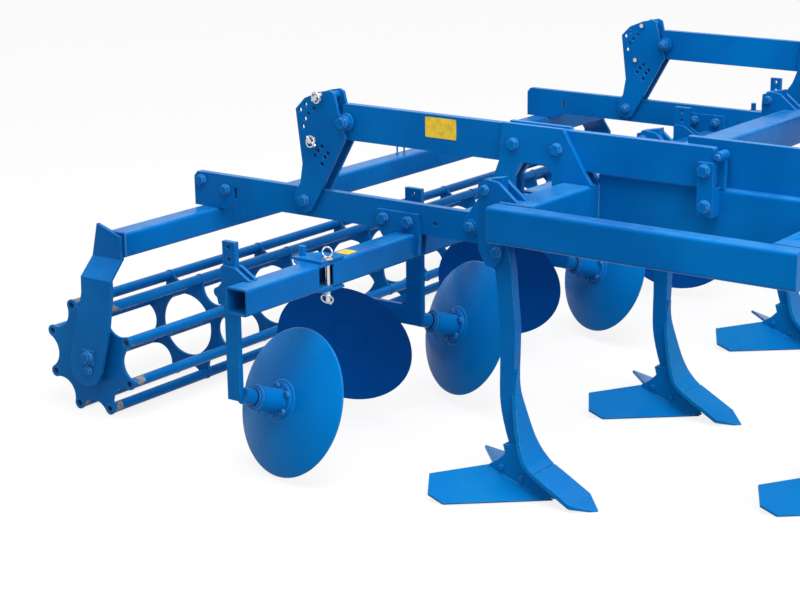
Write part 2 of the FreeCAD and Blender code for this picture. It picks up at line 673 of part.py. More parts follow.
def disc(spot):
    """Dished disc with its hub, turned into place."""
    half = disc_diameter / 2
    sphere = (half ** 2 + disc_dish ** 2) / (2 * disc_dish)
    flat = disc_flat / 2
    depth = [sphere - disc_dish - math.sqrt(sphere ** 2 - r ** 2) for r in (flat, disc_mid)]
    step = disc_thick
    edges = [Part.makeLine(V(0, 0, -disc_dish), V(flat - 3, 0, -disc_dish)),
             Part.makeLine(V(flat - 3, 0, -disc_dish), V(flat, 0, depth[0])),
             Part.Arc(V(flat, 0, depth[0]), V(disc_mid, 0, depth[1]), V(half, 0, 0)).toShape(),
             Part.makeLine(V(half, 0, 0), V(half - 3, 0, -step + 1)),
             Part.Arc(V(half - 3, 0, -step + 1), V(disc_mid, 0, depth[1] - step),
                      V(flat, 0, depth[0] - step)).toShape(),
             Part.makeLine(V(flat, 0, depth[0] - step), V(flat - 3, 0, -disc_dish - step)),
             Part.makeLine(V(flat - 3, 0, -disc_dish - step), V(0, 0, -disc_dish - step)),
             Part.makeLine(V(0, 0, -disc_dish - step), V(0, 0, -disc_dish))]
    face = Part.Face(Part.Wire(edges))
    dish = face.revolve(V(0, 0, 0), V(0, 0, 1), 360)
    back = -disc_dish - step
    flange = Part.makeCylinder(hub_flange / 2, hub_flange_thick, V(0, 0, back), V(0, 0, -1))
    hub = Part.makeCylinder(hub_diameter / 2, hub_length, V(0, 0, back - hub_flange_thick),
                            V(0, 0, -1))
    hub_end = back - hub_flange_thick - hub_length
    bore = Part.makeCylinder(axle_diameter / 2 + running_gap, axle_depth + step + 4,
                             V(0, 0, hub_end), V(0, 0, 1))
    shape = fused([dish, flange, hub]).cut(bore)
    out = heading(*spot[3:])
    shape.Placement = FreeCAD.Placement(V(*spot[:3]), FreeCAD.Rotation(V(0, 0, 1), out))
    return shape


def disc_spot(spot, line, mirrored=False):
    """Place of a disc, from the place relative to its arm."""
    x, y, z, yaw, camber = spot
    if mirrored:
        return (x, line - y, z, 180.0 - yaw, camber)
    return (x, line + y, z, yaw, camber)


def arm_bar(line, back, width, bottom, leg):
    """Flat bar, with a rear leg at the bottom where it carries two discs."""
    front = back + width
    outline = [(front, bottom), (front, disc_arm_top), (back, disc_arm_top)]
    if leg:
        step = bottom + disc_leg_height
        outline = outline + [(back, step + 20), (back - 20, step), (-disc_leg_back, step),
                             (-disc_leg_back, bottom)]
    else:
        outline = outline + [(back, bottom)]
    bar = plate_xz(outline, line - disc_arm_thick / 2, disc_arm_thick)
    for z in (disc_arm_top - 16, disc_arm_top - 50):
        bar = bar.cut(rod_y((front + back) / 2, z, line - 20, line + 20, adjuster_hole))
    return bar


def arm_clamp(line, back, low, top):
    """Two sloping plates that hold a disc arm behind its tube."""
    outline = [(back - 12, low - 2), (back - 18, low + 20), (back - 12, low + 48),
               (back, low + 60), (back, clamp_top - 6), (back + 6, clamp_top),
               (tube_rear - 22, clamp_top - 2), (tube_front - 48, top + 3), (tube_front - 48, top),
               (tube_rear, top), (tube_rear, low - 2)]
    side = disc_arm_thick / 2
    plates = [plate_xz(outline, line - side - clamp_plate, clamp_plate),
              plate_xz(outline, line + side, clamp_plate)]
    closing = rod_y(back - 14, low + 32, line - side - clamp_plate, line + side + clamp_plate, 28)
    return fused(plates + [closing])


edge_line = -edge_arm_line
edge_right = arm_bar(edge_line, -edge_arm_back, edge_arm_width, edge_arm_bottom, False)
edge_right = edge_right.fuse(disc_axle(disc_spot(edge_disc, edge_line), edge_line))
save_both("edge_disc_arms", [edge_right])
pair_arms = []
for k in pair_lines:
    line = k * line_step
    flip = k > 0
    bar = arm_bar(line, -pair_arm_back, pair_arm_width, pair_arm_bottom, True)
    axles = [disc_axle(disc_spot(spot, line, flip), line) for spot in (front_disc, rear_disc)]
    pair_arms.append(fused([bar] + axles))
save("pair_disc_arms", pair_arms)
clamps = [arm_clamp(edge_line, -edge_arm_back, disc_low, disc_top)]
clamps.append(both_sides(clamps[0]))
clamps = clamps + [arm_clamp(k * line_step, -pair_arm_back, disc_low, disc_top) for k in pair_lines]
save("disc_arm_clamps", clamps)

disc_spots = [disc_spot(edge_disc, edge_line)]
for k in pair_lines[:2]:
    disc_spots.append(disc_spot(rear_disc, k * line_step))
    disc_spots.append(disc_spot(front_disc, k * line_step))
last = pair_lines[2] * line_step
disc_spots.append(disc_spot(front_disc, last, True))
disc_spots.append(disc_spot(rear_disc, last, True))
disc_spots.append(disc_spot(edge_disc, edge_arm_line, True))
for number, spot in enumerate(disc_spots, start=1):
    save("disc_%d" % number, [disc(spot)])

# --- headstock --------------------------------------------------------------
plate_out = rail_face - 30
head_line = [(headstock_back, rail_top), (front_tube_back, rail_top), (front_tube_back, frame_top),
             (front_tube_front - 12, frame_top), (front_tube_front - 12, frame_top + 70),
             (front_tube_back + 10, headstock_top), (headstock_back, headstock_top)]
head_plate = plate_xz(head_line, -plate_out, headstock_plate)
save_both("headstock_plates", [head_plate])

hole_x = front_tube_front + top_hole_ahead
hole_z = lower_pin_z + mast_height
tower_line = [(front_tube_back + 5, frame_top), (front_tube_front - 5, frame_top),
              (front_tube_front + 44, 1000), (hole_x + 42, hole_z - 14),
              (hole_x + 30, hole_z + 32), (hole_x - 10, hole_z + 42), (hole_x - 46, hole_z + 10)]
tower_out = tower_gap / 2 + tower_plate
towers = [plate_xz(tower_line, -tower_out, tower_plate), plate_xz(tower_line, tower_gap / 2, tower_plate)]
towers = [t.cut(rod_y(hole_x, hole_z, -tower_out - 5, tower_out + 5, top_hole_diameter)) for t in towers]
tie = box(front_tube_front - 36, front_tube_front - 16, -tower_gap / 2, tower_gap / 2, frame_top, 990)
save("tower_plates", [fused(towers + [tie])])

# stays from the tower's head back to the headstock plates
stay_from = V(hole_x - 34, -tower_out + 6, hole_z - 60)
stay_to = V(front_tube_back - 40, -plate_out + headstock_plate - 6, headstock_top - 40)
run = stay_to - stay_from
across = run.cross(V(0, 0, 1)).normalize()
upright = across.cross(run).normalize()
corner = stay_from - across * (stay_thick / 2) - upright * (stay_width / 2)
points = [corner, corner + across * stay_thick, corner + across * stay_thick + upright * stay_width,
          corner + upright * stay_width, corner]
stay = Part.Face(Part.makePolygon(points)).extrude(run)
stay = stay.cut(head_plate).cut(towers[0])
stay = sorted(stay.Solids, key=lambda s: s.Volume)[-1]
save_both("tower_stays", [stay])

yoke_line = [(front_tube_front, frame_top), (front_tube_front + 60, frame_top - 6),
             (front_tube_front + lower_pin_ahead + 36, lower_pin_z + 34),
             (front_tube_front + lower_pin_ahead + 44, lower_pin_z),
             (front_tube_front + lower_pin_ahead + 30, lower_pin_z - 34),
             (front_tube_front + lower_pin_ahead - 20, lower_pin_z - 42),
             (front_tube_front + 40, lower_pin_z + 30), (front_tube_front, tube_bottom)]
pin_front = front_tube_front + lower_pin_ahead
yokes = []
for side in (-1, 1):
    middle = side * lower_pin_span / 2
    half = yoke_gap / 2
    for y0 in (middle - half - yoke_plate, middle + half):
        yoke = plate_xz(yoke_line, y0, yoke_plate)
        yokes.append(yoke.cut(rod_y(pin_front, lower_pin_z, y0 - 5, y0 + yoke_plate + 5,
                                    lower_hole_diameter)))
save("lower_link_yokes", yokes)
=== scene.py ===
import json
import math

import bpy
from bpy.props import FloatProperty, FloatVectorProperty, IntProperty, PointerProperty
from mathutils import Matrix, Vector


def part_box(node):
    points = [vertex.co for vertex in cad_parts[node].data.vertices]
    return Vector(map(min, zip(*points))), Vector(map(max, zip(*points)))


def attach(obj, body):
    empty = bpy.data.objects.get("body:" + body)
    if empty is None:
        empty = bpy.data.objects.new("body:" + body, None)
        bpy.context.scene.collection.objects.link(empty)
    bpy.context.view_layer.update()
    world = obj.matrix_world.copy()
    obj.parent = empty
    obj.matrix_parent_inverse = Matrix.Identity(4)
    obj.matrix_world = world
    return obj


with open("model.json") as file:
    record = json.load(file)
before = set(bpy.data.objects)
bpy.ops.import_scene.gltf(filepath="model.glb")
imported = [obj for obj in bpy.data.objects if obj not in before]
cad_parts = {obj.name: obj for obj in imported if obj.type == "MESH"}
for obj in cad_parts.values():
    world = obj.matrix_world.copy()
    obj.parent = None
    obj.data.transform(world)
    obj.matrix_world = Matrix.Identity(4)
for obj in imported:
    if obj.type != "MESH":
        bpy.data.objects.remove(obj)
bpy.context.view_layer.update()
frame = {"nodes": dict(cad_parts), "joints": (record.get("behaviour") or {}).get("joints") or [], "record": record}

bl_info = {
    "name": "Stubble cultivator",
    "version": (1, 0, 0),
    "blender": (4, 5, 0),
    "location": "View3D > Sidebar > Cultivator",
    "description": "Paint, fasteners and fittings of a mounted stubble cultivator, and its stage",
    "category": "Object",
}

JOINTS = {joint["name"]: joint for joint in frame["joints"]}
DISCS = ["disc_%d" % number for number in range(1, 9)]
SIDES = {"right": -1.0, "left": 1.0}
TINE_ROWS = (("rear", (-3, -1, 1, 3)), ("front", (-2, 0, 2)))   # tine lines from the middle one

ENAMEL_GLOSS = 0.13                         # specular level of every enamel
ENAMEL_GLOSS_TINT = (0.05, 0.50, 1.0, 1.0)
DUST_AND_SHEEN_COLOUR = (0.10, 0.40, 0.66)            # enamel under dust, which also paints a lighter sheen on faces that look up
RUB_AND_HIGHLIGHT_LIFT = (0.025, 0.09, 0.06)              # what rubbing and the painted edge highlight add to an enamel's colour
RUB_AND_HIGHLIGHT_GAIN = 1.25                             # and what they multiply the colour by
FLOOR_GLOW = 0.84                           # part of the floor's brightness that it gives itself


# --- sizes and colours that a user would change ---------------------------------------------
class PaintSettings(bpy.types.PropertyGroup):
    blue: FloatVectorProperty(
        name="Frame blue", description="Enamel on the frame, arms and roller", subtype="COLOR",
        size=3, min=0.0, max=1.0, default=(0.0008, 0.148, 0.47))
    deep: FloatVectorProperty(
        name="Deep blue", description="The same enamel where it lies thicker",
        subtype="COLOR", size=3, min=0.0, max=1.0, default=(0.0006, 0.108, 0.38))
    share_blue: FloatVectorProperty(
        name="Share blue", description="Brighter enamel on the shares", subtype="COLOR",
        size=3, min=0.0, max=1.0, default=(0.0008, 0.165, 0.46))
    disc_blue: FloatVectorProperty(
        name="Disc blue", description="Enamel on the discs' outer sides", subtype="COLOR",
        size=3, min=0.0, max=1.0, default=(0.0008, 0.172, 0.53))
    # colour of the painted shade on the discs' hollow sides
    hollow_shade: FloatVectorProperty(
        name="Hollow shade blue", description="Painted shade on the enamel in the discs' hollows",
        subtype="COLOR", size=3, min=0.0, max=1.0, default=(0.0004, 0.077, 0.365))
    steel: FloatVectorProperty(
        name="Bare steel", description="Metal where the enamel has gone", subtype="COLOR",
        size=3, min=0.0, max=1.0, default=(0.33, 0.36, 0.38))
    rust: FloatVectorProperty(
        name="Rust", description="Weathered metal at the roller's bar ends", subtype="COLOR",
        size=3, min=0.0, max=1.0, default=(0.19, 0.155, 0.12))
    yellow: FloatVectorProperty(
        name="Plate yellow", description="Blank notice plates", subtype="COLOR",
        size=3, min=0.0, max=1.0, default=(0.84, 0.58, 0.02))
    zinc: FloatVectorProperty(
        name="Zinc plate", description="Pins, rings and clips", subtype="COLOR",
        size=3, min=0.0, max=1.0, default=(0.72, 0.73, 0.74))
    # edges lightened by this amount are partly rubbed paint and partly a painted highlight
    wear_and_highlight: FloatProperty(
        name="Edge wear and highlight", description="How much the frame's edges are lightened by rub and painted highlight",
        subtype="FACTOR", min=0.0, max=1.0, default=0.45)


class FittingSettings(bpy.types.PropertyGroup):
    large_bolt: FloatProperty(
        name="Large bolt", description="Across the flats of the bolts of arms and brackets",
        subtype="DISTANCE", unit="LENGTH", min=0.01, max=0.06, default=0.030)
    medium_bolt: FloatProperty(
        name="Medium bolt", description="Across the flats of the bolts of tines and hinges",
        subtype="DISTANCE", unit="LENGTH", min=0.01, max=0.06, default=0.024)
    small_bolt: FloatProperty(
        name="Small bolt", description="Across the flats of the bolts of hubs, shares and bushes",
        subtype="DISTANCE", unit="LENGTH", min=0.008, max=0.04, default=0.015)
    ring_wire: FloatProperty(
        name="Ring wire", description="Thickness of the pins' rings", subtype="DISTANCE",
        unit="LENGTH", min=0.001, max=0.01, default=0.0048)
    ring_size: FloatProperty(
        name="Ring", description="Middle radius of a pull ring, which sizes the linch pins too",
        subtype="DISTANCE", unit="LENGTH", min=0.01, max=0.05, default=0.0145)
    weld_leg: FloatProperty(
        name="Weld", description="Radius of a weld bead, which sizes the hoop's feet too",
        subtype="DISTANCE", unit="LENGTH", min=0.001, max=0.01, default=0.0045)
    hub_bolts: IntProperty(
        name="Hub bolts", description="Bolts round a disc's hub flange", min=3, max=8, default=5)


class StageSettings(bpy.types.PropertyGroup):
    floor: FloatVectorProperty(
        name="Floor", description="Colour of the floor, which is the backdrop too",
        subtype="COLOR", size=3, min=0.0, max=1.0, default=(0.985, 0.985, 0.985))
    bounce: FloatProperty(
        name="Floor bounce", description="How pale the floor is to the light it throws back",
        subtype="FACTOR", min=0.0, max=1.0, default=0.30)
    key: FloatProperty(
        name="Key light", description="Power of the large overhead lamp", subtype="POWER",
        min=0.0, max=5000.0, default=300.0)
    side: FloatProperty(
        name="Side light", description="Power of the lamp ahead of the machine",
        subtype="POWER", min=0.0, max=5000.0, default=170.0)
    ambient: FloatProperty(
        name="Ambient", description="Strength of the world's even light", min=0.0, max=5.0,
        default=0.62)


def paint():
    return bpy.context.scene.cultivator_paint


def fittings():
    return bpy.context.scene.cultivator_fittings


def stage():
    return bpy.context.scene.cultivator_stage


# --- shader nodes and node groups -------------------------------------------------------------
def new_group(name, inputs, outputs):
    """Empty shader group with named sockets; its input and output nodes come with it."""
    group = bpy.data.node_groups.new(name, "ShaderNodeTree")
    for label, kind, value in inputs:
        socket = group.interface.new_socket(label, in_out="INPUT", socket_type=kind)
        socket.default_value = value
    for label, kind in outputs:
        group.interface.new_socket(label, in_out="OUTPUT", socket_type=kind)
    return group, group.nodes.new("NodeGroupInput"), group.nodes.new("NodeGroupOutput")


def math_node(tree, operation, first, second=None, clamp=False):
    """Math node; each value is a number or a socket."""
    node = tree.nodes.new("ShaderNodeMath")
    node.operation = operation
    node.use_clamp = clamp
    for index, value in enumerate((first, second)):
        if isinstance(value, bpy.types.NodeSocket):
            tree.links.new(value, node.inputs[index])
        elif value is not None:
            node.inputs[index].default_value = value
    return node.outputs[0]


def noise_node(tree, coordinates, scale, detail=4.0, roughness=0.5):
    node = tree.nodes.new("ShaderNodeTexNoise")
    for label, value in (("Scale", scale), ("Detail", detail), ("Roughness", roughness)):
        node.inputs[label].default_value = value
    tree.links.new(coordinates, node.inputs["Vector"])
    return node.outputs["Fac"]


def map_node(tree, value, low, high, to_low=0.0, to_high=1.0):
    """The value's range from low to high laid over another range, and held at its ends."""
    node = tree.nodes.new("ShaderNodeMapRange")
    for label, end in (("From Min", low), ("From Max", high),
                       ("To Min", to_low), ("To Max", to_high)):
        node.inputs[label].default_value = end
    tree.links.new(value, node.inputs["Value"])
    return node.outputs["Result"]


def mix_colour(tree, factor, first, second):
    """Mix by a mask from the first colour to the second; each is three numbers or a socket."""
    node = tree.nodes.new("ShaderNodeMix")
    node.data_type = "RGBA"
    tree.links.new(factor, node.inputs["Factor"])
    colours = [socket for socket in node.inputs if socket.type == "RGBA"]
    for socket, value in zip(colours, (first, second)):
        if isinstance(value, bpy.types.NodeSocket):
            tree.links.new(value, socket)
        else:
            socket.default_value = (*value, 1.0)
    return [socket for socket in node.outputs if socket.type == "RGBA"][0]


def dot_node(tree, first, second):
    """Dot product of a socket with another socket or with three numbers."""
    node = tree.nodes.new("ShaderNodeVectorMath")
    node.operation = "DOT_PRODUCT"
    tree.links.new(first, node.inputs[0])
    if isinstance(second, bpy.types.NodeSocket):
        tree.links.new(second, node.inputs[1])
    else:
        node.inputs[1].default_value = second
    return node.outputs["Value"]


def axis_node(tree, vector, axis):
    """One coordinate of a vector."""
    node = tree.nodes.new("ShaderNodeSeparateXYZ")
    tree.links.new(vector, node.inputs[0])
    return node.outputs[axis]


def seen_node(tree):
    """1 for rays from the camera and for what is reflected or seen through glass, 0 for light."""
    path = tree.nodes.new("ShaderNodeLightPath")
    seen = math_node(tree, "MAXIMUM", path.outputs["Is Camera Ray"], path.outputs["Is Glossy Ray"])
    return math_node(tree, "MAXIMUM", seen, path.outputs["Is Transmission Ray"])


def edge_wear_and_highlight_group():
    """Masks of rubbed edges, which also carry a painted edge highlight, and of chips in them, and the normal of
    slightly rounded edges.
    """
    group, start, end = new_group(
        "edge wear and highlight",
        [("Vector", "NodeSocketVector", (0.0, 0.0, 0.0)), ("Amount", "NodeSocketFloat", 0.4)],
        [("Edge", "NodeSocketFloat"), ("Chips", "NodeSocketFloat"),
         ("Normal", "NodeSocketVector")])
    bevel = group.nodes.new("ShaderNodeBevel")
    bevel.samples = 6
    bevel.inputs["Radius"].default_value = 0.0028
    geometry = group.nodes.new("ShaderNodeNewGeometry")
    turn = math_node(group, "SUBTRACT", 1.0,
                     dot_node(group, bevel.outputs["Normal"], geometry.outputs["Normal"]))
    edge = map_node(group, turn, low=0.006, high=0.10)
    grain = noise_node(group, start.outputs["Vector"], scale=38.0, detail=5.0, roughness=0.62)
    rub_and_highlight = math_node(group, "MULTIPLY", edge, start.outputs["Amount"])
    chips = math_node(group, "ADD", grain, math_node(group, "MULTIPLY", rub_and_highlight, 0.5))
    chips = math_node(group, "MULTIPLY", map_node(group, chips, low=0.74, high=0.80), edge)
    group.links.new(rub_and_highlight, end.inputs["Edge"])
    group.links.new(chips, end.inputs["Chips"])
    group.links.new(bevel.outputs["Normal"], end.inputs["Normal"])
    return group


def enamel_group():
    """Sprayed enamel: slow changes of depth, fine orange peel, and dust with a painted sheen on what faces up."""
    group, start, end = new_group(
        "sprayed enamel",
        [("Vector", "NodeSocketVector", (0.0, 0.0, 0.0)),
         ("Colour", "NodeSocketColor", (0.0, 0.1, 0.4, 1.0)),
         ("Deep", "NodeSocketColor", (0.0, 0.05, 0.3, 1.0)),
         ("Dust and sheen", "NodeSocketFloat", 0.1)],
        [("Colour", "NodeSocketColor"), ("Roughness", "NodeSocketFloat"),
         ("Height", "NodeSocketFloat")])
    vector = start.outputs["Vector"]
    slow = noise_node(group, vector, scale=3.1, detail=3.0)
    slow = map_node(group, slow, low=0.38, high=0.66)
    colour = mix_colour(group, slow, start.outputs["Deep"], start.outputs["Colour"])
    coords = group.nodes.new("ShaderNodeTexCoord")
    upward = axis_node(group, coords.outputs["Normal"], "Z")
    upward = map_node(group, upward, low=0.55, high=0.95)
    cloud = noise_node(group, vector, scale=9.0, detail=6.0, roughness=0.6)
    cloud = map_node(group, cloud, low=0.40, high=0.62)
    # dust on faces that look up; its pale blue also paints a lighter sheen on the tops
    dust_and_sheen = math_node(group, "MULTIPLY", math_node(group, "MULTIPLY", upward, cloud),
                     start.outputs["Dust and sheen"])
    colour = mix_colour(group, dust_and_sheen, colour, DUST_AND_SHEEN_COLOUR)
    smear = noise_node(group, vector, scale=17.0, detail=5.0, roughness=0.65)
    smear = map_node(group, smear, low=0.3, high=0.7, to_low=0.20, to_high=0.36)
    roughness = math_node(group, "ADD", smear, math_node(group, "MULTIPLY", dust_and_sheen, 0.5),
                          clamp=True)
    peel = noise_node(group, vector, scale=420.0, detail=2.0)
    group.links.new(colour, end.inputs["Colour"])
    group.links.new(roughness, end.inputs["Roughness"])
    group.links.new(peel, end.inputs["Height"])
    return group


def group_node(tree, name, maker):
    """A shader group in a material, made the first time it is asked for."""
    node = tree.nodes.new("ShaderNodeGroup")
    node.node_tree = bpy.data.node_groups.get(name) or maker()
    return node


def new_material(name):
    """New material's node tree with its Principled BSDF and the outputs of its coordinates."""
    material = bpy.data.materials.new(name)
    material.use_nodes = True
    tree = material.node_tree
    coords = tree.nodes.new("ShaderNodeTexCoord")
    return tree, tree.nodes["Principled BSDF"], coords.outputs


def bumped(tree, shader, height, strength, distance, normal=None):
    """Fine relief from a height, on top of a normal where one is given."""
    bump = tree.nodes.new("ShaderNodeBump")
    bump.inputs["Strength"].default_value = strength
    bump.inputs["Distance"].default_value = distance
    tree.links.new(height, bump.inputs["Height"])
    if normal is not None:
        tree.links.new(normal, bump.inputs["Normal"])
    tree.links.new(bump.outputs["Normal"], shader.inputs["Normal"])


def covered(tree, shader, mask, colour, dulling):
    """Another colour over a shader's own where the mask is 1, and rougher there by dulling."""
    before = shader.inputs["Base Color"].links[0].from_socket
    tree.links.new(mix_colour(tree, mask, before, colour), shader.inputs["Base Color"])
    rough = shader.inputs["Roughness"].links[0].from_socket
    rough = math_node(tree, "ADD", rough, math_node(tree, "MULTIPLY", mask, dulling), clamp=True)
    tree.links.new(rough, shader.inputs["Roughness"])


# --- materials --------------------------------------------------------------------------------
def enamel(name, colour, deep, dust_and_sheen, wear_and_highlight, bare):
    """Gloss enamel with dust and a painted sheen on what faces up, edges lightened for rub and painted highlight,
    and chips; bare is how much steel they show.
    """
    tree, shader, coords = new_material(name)
    coat = group_node(tree, "sprayed enamel", enamel_group)
    coat.inputs["Colour"].default_value = (*colour, 1.0)
    coat.inputs["Deep"].default_value = (*deep, 1.0)
    coat.inputs["Dust and sheen"].default_value = dust_and_sheen
    edges = group_node(tree, "edge wear and highlight", edge_wear_and_highlight_group)
    edges.inputs["Amount"].default_value = wear_and_highlight
    for node in (coat, edges):
        tree.links.new(coords["Object"], node.inputs["Vector"])
    # edges lightened towards a paler blue: partly rubbed paint, partly a painted highlight along the edges
    rubbed_and_highlit = [lift + RUB_AND_HIGHLIGHT_GAIN * channel for lift, channel in zip(RUB_AND_HIGHLIGHT_LIFT, colour)]
    rub_and_highlight = math_node(tree, "MULTIPLY", edges.outputs["Edge"], 0.8)
    body = mix_colour(tree, rub_and_highlight, coat.outputs["Colour"], rubbed_and_highlit)
    chips = math_node(tree, "MULTIPLY", edges.outputs["Chips"], bare)
    tree.links.new(mix_colour(tree, chips, body, paint().steel), shader.inputs["Base Color"])
    tree.links.new(math_node(tree, "MULTIPLY", chips, 0.8), shader.inputs["Metallic"])
    tree.links.new(coat.outputs["Roughness"], shader.inputs["Roughness"])
    bumped(tree, shader, coat.outputs["Height"], strength=0.12, distance=0.0004,
           normal=edges.outputs["Normal"])
    shader.inputs["Specular IOR Level"].default_value = ENAMEL_GLOSS
    shader.inputs["Specular Tint"].default_value = ENAMEL_GLOSS_TINT
    return tree, shader, coords


def blue_enamel(name):
    """The frame's blue."""
    enamel(name, paint().blue, paint().deep, dust_and_sheen=0.20, wear_and_highlight=paint().wear_and_highlight, bare=0.2)


def fastener_enamel(name):
    """The same blue on bolts and welds, with more of their edges rubbed and lightened as painted highlight."""
    enamel(name, paint().blue, paint().deep, dust_and_sheen=0.1, wear_and_highlight=0.8, bare=0.4)


def share_enamel(name):
    """Brighter blue of shares and their bolts, which get little dust and painted top sheen."""
    enamel(name, paint().share_blue, paint().blue, dust_and_sheen=0.04, wear_and_highlight=0.5, bare=0.25)


def disc_enamel(name):
    """One disc's enamel, darkened on the hollow side as painted shade, and duller there."""
    tree, shader, coords = enamel(name, paint().disc_blue, paint().blue,
                                  dust_and_sheen=0.08, wear_and_highlight=0.5, bare=0.2)
    axis = JOINTS[name.replace("_enamel", "_spin")]["axis"]
    # painted shade: faces on the hollow side are darkened towards the hollow shade colour
    hollow_shade = map_node(tree, dot_node(tree, coords["Normal"], axis), low=0.1, high=0.4)
    covered(tree, shader, hollow_shade, paint().hollow_shade, dulling=0.5)


def roller_enamel(name):
    """Blue of the roller's end stars and rings."""
    enamel(name, paint().blue, paint().deep, dust_and_sheen=0.1, wear_and_highlight=0.5, bare=0.15)


def roller_bar_enamel(name):
    """Bar enamel, rubbed through to grey and brown metal in patches near the bars' ends."""
    tree, shader, coords = enamel(name, paint().blue, paint().deep,
                                  dust_and_sheen=0.12, wear_and_highlight=0.5, bare=0.15)
    vector = coords["Object"]
    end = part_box("roller_bars")[1].y
    outward = math_node(tree, "ABSOLUTE", axis_node(tree, vector, "Y"))
    reach = map_node(tree, outward, low=end - 0.10, high=end - 0.04)
    patch = noise_node(tree, vector, scale=16.0, detail=5.0, roughness=0.6)
    patch = math_node(tree, "ADD", math_node(tree, "MULTIPLY", reach, 0.34), patch)
    patch = map_node(tree, patch, low=0.84, high=0.88)
    short_of_end = map_node(tree, outward, low=end - 0.007, high=end - 0.009)
    patch = math_node(tree, "MULTIPLY", patch, short_of_end)
    speck = noise_node(tree, vector, scale=120.0)
    grime = mix_colour(tree, speck, paint().rust, paint().steel)
    covered(tree, shader, patch, grime, dulling=0.4)


def zinc_plate(name):
    """Bright zinc with faint streaks and dull smears."""
    tree, shader, coords = new_material(name)
    streak = noise_node(tree, coords["Object"], scale=60.0, detail=6.0, roughness=0.7)
    dull = [0.72 * channel for channel in paint().zinc]
    tree.links.new(mix_colour(tree, streak, dull, paint().zinc), shader.inputs["Base Color"])
    shader.inputs["Metallic"].default_value = 1.0
    rough = map_node(tree, streak, low=0.3, high=0.7, to_low=0.16, to_high=0.34)
    tree.links.new(rough, shader.inputs["Roughness"])
    bumped(tree, shader, streak, strength=0.08, distance=0.0004)


def yellow_foil(name):
    """Yellow foil of the blank notice plates, dirty in patches."""
    tree, shader, coords = new_material(name)
    vector = coords["Object"]
    stain = noise_node(tree, vector, scale=45.0, detail=6.0, roughness=0.65)
    stain = map_node(tree, stain, low=0.45, high=0.72)
    dirty = [part * channel for part, channel in zip((0.62, 0.60, 0.9), paint().yellow)]
    tree.links.new(mix_colour(tree, stain, paint().yellow, dirty), shader.inputs["Base Color"])
    rough = map_node(tree, stain, low=0.0, high=1.0, to_low=0.30, to_high=0.46)
    tree.links.new(rough, shader.inputs["Roughness"])
    grain = noise_node(tree, vector, scale=260.0, detail=2.0)
    bumped(tree, shader, grain, strength=0.08, distance=0.0003)


def floor_pale(name):
    """Pale floor that glows to the eye but throws little of its light back on the machine."""
    tree, shader, coords = new_material(name)
    seen = seen_node(tree)
    pale = stage().floor
    lit = [(1.0 - FLOOR_GLOW) * channel for channel in pale]
    grain = noise_node(tree, coords["Object"], scale=4.0, detail=3.0)
    grain = map_node(tree, grain, low=0.3, high=0.7)
    lit = mix_colour(tree, grain, [0.97 * channel for channel in lit], lit)
    low = [stage().bounce * channel for channel in pale]
    tree.links.new(mix_colour(tree, seen, low, lit), shader.inputs["Base Color"])
    tree.links.new(mix_colour(tree, seen, (0.0, 0.0, 0.0), pale), shader.inputs["Emission Color"])
    shader.inputs["Emission Strength"].default_value = FLOOR_GLOW
    shader.inputs["Roughness"].default_value = 0.9
    shader.inputs["Specular IOR Level"].default_value = 0.1


FINISHES = {maker.__name__: maker for maker in (
    blue_enamel, fastener_enamel, share_enamel, roller_enamel, roller_bar_enamel,
    zinc_plate, yellow_foil, floor_pale)}
FINISHES.update({disc + "_enamel": disc_enamel for disc in DISCS})


def finish(name):
    """A material by its name, made the first time it is asked for."""
    if name not in bpy.data.materials:
        FINISHES[name](name)
    return bpy.data.materials[name]


# --- modelling helpers ------------------------------------------------------------------------
def select_only(*objects):
    """Deselect everything but these objects, and make the first one active."""
    if bpy.context.object and bpy.context.object.mode != "OBJECT":
        bpy.ops.object.mode_set(mode="OBJECT")
    bpy.ops.object.select_all(action="DESELECT")
    for obj in objects:
        obj.select_set(True)
    if objects:
        bpy.context.view_layer.objects.active = objects[0]


def select_faces(obj, chosen):
    """Select the faces that a test of centre and normal picks; the object is left in edit mode."""
    select_only(obj)
    bpy.ops.object.mode_set(mode="EDIT")
    bpy.ops.mesh.select_all(action="DESELECT")
    bpy.ops.mesh.select_mode(type="FACE")
    bpy.ops.object.mode_set(mode="OBJECT")
    for face in obj.data.polygons:
        face.select = chosen(face.center, face.normal)
    bpy.ops.object.mode_set(mode="EDIT")


def leave_edit():
    bpy.ops.object.mode_set(mode="OBJECT")


def drum(radius, low, high, sides, bevel=0.0, both=False):
    """Upright drum about Z from low to high, with its top rim, or both rims, bevelled."""
    select_only()
    bpy.ops.mesh.primitive_cylinder_add(vertices=sides, radius=radius, depth=high - low,
                                        location=(0.0, 0.0, (high + low) / 2))
    obj = bpy.context.object
    bpy.ops.object.transform_apply(location=True, rotation=True, scale=True)
    if bevel > 0.0:
        select_faces(obj, lambda centre, normal: normal.z > 0.9 or (both and normal.z < -0.9))
        bpy.ops.mesh.region_to_loop()
        bpy.ops.mesh.bevel(offset=bevel, segments=1)
        leave_edit()
    return obj


def ring(radius, wire):
    """Round wire ring about Z at the origin."""
    select_only()
    bpy.ops.mesh.primitive_torus_add(major_radius=radius, minor_radius=wire / 2.0,
                                     major_segments=36, minor_segments=10)
    return bpy.context.object


def joined(objects, name):
    """One object from several; the name is set on object and mesh."""
    select_only(*objects)
    bpy.ops.object.join()
    obj = bpy.context.view_layer.objects.active
    obj.name = name
    obj.data.name = name
    return obj


def moved(obj, offset):
    """The object with its mesh moved."""
    obj.data.transform(Matrix.Translation(Vector(offset)))
    return obj


def turned(obj, angle, axis, offset=(0.0, 0.0, 0.0)):
    """The object with its mesh turned about an axis through the origin, then moved."""
    obj.data.transform(Matrix.Translation(Vector(offset)) @ Matrix.Rotation(angle, 4, axis))
    return obj


